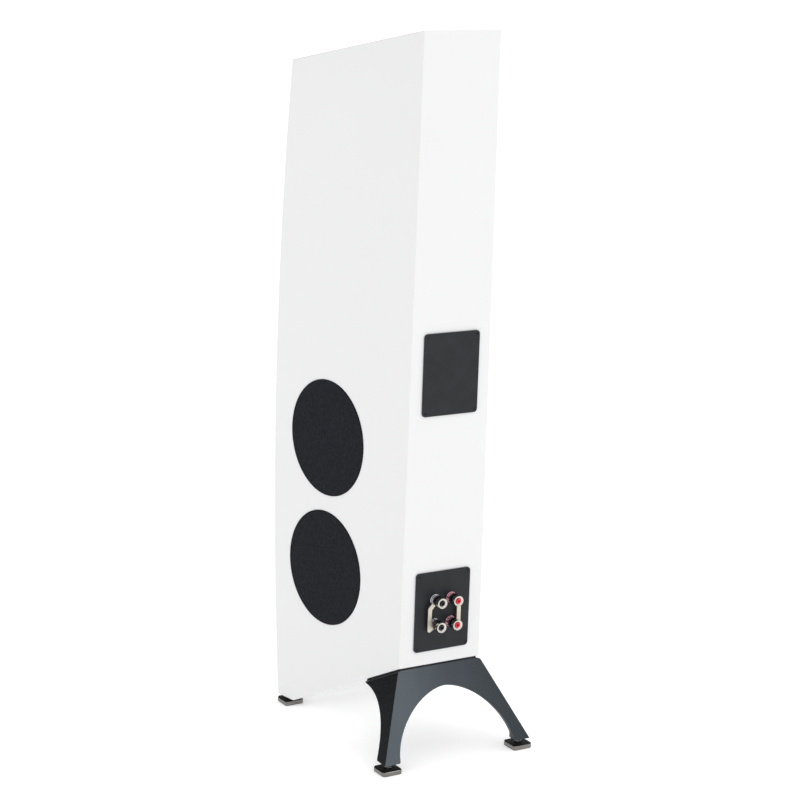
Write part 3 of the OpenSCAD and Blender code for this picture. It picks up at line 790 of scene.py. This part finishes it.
def make_crossover():
    """Two wound air coils, four film capacitors and a ceramic resistor."""
    place = COVER @ Matrix.Translation((0, 0, -31.6 * MM))
    bm = bmesh.new()
    turns = 24
    wound = [(17 - 0.5 * (i % 2), -19.2 + 18.4 * i / turns) for i in range(turns + 1)]
    coil = scaled([(8, -0.6), (8, -19.4)] + wound)
    half_capacitor = [(0, 14.2), (7.6, 14.4), (8.7, 13.4), (8.95, 11)]
    capacitor = scaled([(r, -z) for r, z in half_capacitor] + half_capacitor[::-1])
    for y in (-32, 30):
        spun(bm, place @ Matrix.Translation((-18 * MM, y * MM, 0)), coil, 48)
    for y in (-38, -14, 10, 34):
        spot = (place @ Matrix.Translation((20 * MM, y * MM, -11 * MM))
                @ Matrix.Rotation(math.pi / 2, 4, "Y"))
        spun(bm, spot, capacitor, 40, closed=False, mat=1)
    prism(bm, place @ Matrix.Translation((-18 * MM, -1.5 * MM, 0)),
          rounded_box(23.6 * MM, 8.6 * MM, 1 * MM, 3), -7.8 * MM, -0.1 * MM, mat=2)
    piece(bm, "crossover_components", [COPPER, FILM, CERAMIC], "cabinet",
          ["crossover_parts"])


# ---- CAD parts that stay ----

def finish_cad_parts():
    """Materials for the CAD solids that stay as they are."""
    kept = {"brace_lower": MDF, "brace_upper": MDF, "chamber_divider": MDF,
            "crossover_board": BOARD, "foot_inserts": BRASS}
    for w in ("woofer_upper", "woofer_lower"):
        kept.update({w + "_frame": BASKET, w + "_magnet": MAGNET, w + "_cone": CONE,
                     w + "_coil": COPPER, w + "_surround": RUBBER})
    kept.update({"midrange_magnet": MAGNET, "midrange_cone": CONE, "midrange_surround": RUBBER,
                 "midrange_frame": BASKET, "tweeter_motor": MAGNET, "tweeter_dome": DOME,
                 "tweeter_plate": TWEETER_METAL})
    for node, mat in kept.items():
        obj = frame["nodes"][node]
        if not obj.material_slots:
            obj.data.materials.append(mat)
        for slot in obj.material_slots:
            slot.material = mat


# ---- Light, floor and camera ----

# The world's one unlit corner: its direction, and the cosines between which it fades in.
DARK_CORNER = (0.40, -0.90, 0.18)
FADE_START, FADE_END = 0.70, 0.95
DARKEST = 0.02


def make_floor():
    """A wide white floor that glows a little, so that shadows on it stay faint."""
    bm = bmesh.new()
    bmesh.ops.create_grid(bm, x_segments=1, y_segments=1, size=60)
    floor = object_from(bm, "floor")
    white = surface("floor", (0.9, 0.9, 0.9), 0.9, spread=0.004, patch=2, grain=60, bump=0.0,
                    Emission_Color=(1, 1, 1, 1), Emission_Strength=0.35)
    floor.data.materials.append(white)


def make_world():
    """A white studio with one unlit corner, at the front on the woofers' side."""
    world = bpy.data.worlds.new("studio")
    world.use_nodes = True
    tree = world.node_tree
    direction = add_node(tree, "TexCoord").outputs["Generated"]
    toward = add_node(tree, "VectorMath", {0: direction, 1: Vector(DARK_CORNER).normalized()},
                      operation="DOT_PRODUCT")
    shade = add_node(tree, "MapRange", {"Value": toward.outputs["Value"], "From Min": FADE_START,
                                        "From Max": FADE_END, "To Min": 1.0, "To Max": DARKEST},
                     interpolation_type="SMOOTHSTEP")
    background = tree.nodes["Background"]
    background.inputs["Color"].default_value = (1, 1, 1, 1)
    tree.links.new(shade.outputs["Result"], background.inputs["Strength"])
    bpy.context.scene.world = world


def make_lamp(name, kind, place, aim, energy, **settings):
    """A lamp at place, pointing at aim, that the camera doesn't see. Returns its object."""
    data = bpy.data.lights.new(name, kind)
    data.energy = energy
    for key, value in settings.items():
        setattr(data, key, value)
    lamp = linked(name, data)
    lamp.location = place
    lamp.rotation_euler = (Vector(place) - Vector(aim)).to_track_quat("Z", "Y").to_euler()
    lamp.visible_camera = False
    return lamp


def light_only(lamp, pieces):
    """Lets a lamp light those pieces and nothing else."""
    receivers = bpy.data.collections.new(lamp.name + "_receivers")
    for obj in pieces:
        receivers.objects.link(obj)
    lamp.light_linking.receiver_collection = receivers


def make_studio(metalwork):
    """A soft white studio, with one low box that only the stand and the pads reflect."""
    make_floor()
    make_world()
    make_lamp("key", "SUN", (0.1, 1.0, 0.8), (0, 0, 0), 0.22, angle=math.radians(40))
    low_box = make_lamp("low_box", "AREA", (-0.22, 0.9, 0.52), (0, 0.18, 0.1), 2.0,
                        shape="RECTANGLE", size=0.45, size_y=0.6)
    light_only(low_box, metalwork)
    bpy.context.scene.view_settings.view_transform = "Standard"


def make_camera():
    """A long lens behind the speaker and to its right, looking slightly down at it."""
    azimuth, pitch, roll = (math.radians(a) for a in (149.63, 11.843, 0.839))
    back = Vector((math.sin(azimuth) * math.cos(pitch), -math.cos(azimuth) * math.cos(pitch),
                   math.sin(pitch)))
    right = UP.cross(back).normalized()
    up = back.cross(right)
    x = right * math.cos(roll) + up * math.sin(roll)
    y = up * math.cos(roll) - right * math.sin(roll)
    data = bpy.data.cameras.new("camera")
    data.lens = 97.66
    data.sensor_width = 36
    data.clip_end = 200
    camera = linked("camera", data)
    camera.matrix_world = Matrix((x, y, back)).transposed().to_4x4()
    camera.location = (1.8152, 3.0969, 1.3285)
    bpy.context.scene.camera = camera


make_camera()
make_cabinet()
for woofer in WOOFERS:
    make_grille(woofer)
make_spiders()
finish_cad_parts()
from_cad("cover_plate", 0.5 * MM, PLATE)
from_cad("terminal_plate", 0.5 * MM, PLATE)
make_plate_screws()
make_collars()
make_studs()
from_cad("jumpers", 0.35 * MM, GOLD)
for post in POSTS:
    from_cad("washer_" + post, 0.25 * MM, RHODIUM)
    make_knob(post)
stand = from_cad("stand", 0.8 * MM, STAND,
                 first=((stand_corners, 5 * MM), (leg_ends, 3.5 * MM)))
from_cad("stand_gasket", 0.3 * MM, GASKET)
make_stand_bolts()
pads = [make_pad(foot) for foot in FEET]
for foot in FEET:
    make_spindle(foot)
button_screws("midrange_screws", MID, 62.5 * MM, 6, 2.6 * MM, -0.5 * MM, math.pi / 6)
button_screws("tweeter_screws", TWEETER, 42 * MM, 4, 2.0 * MM, -0.5 * MM, math.pi / 4)
make_wadding()
make_crossover()
make_studio([stand, *pads])
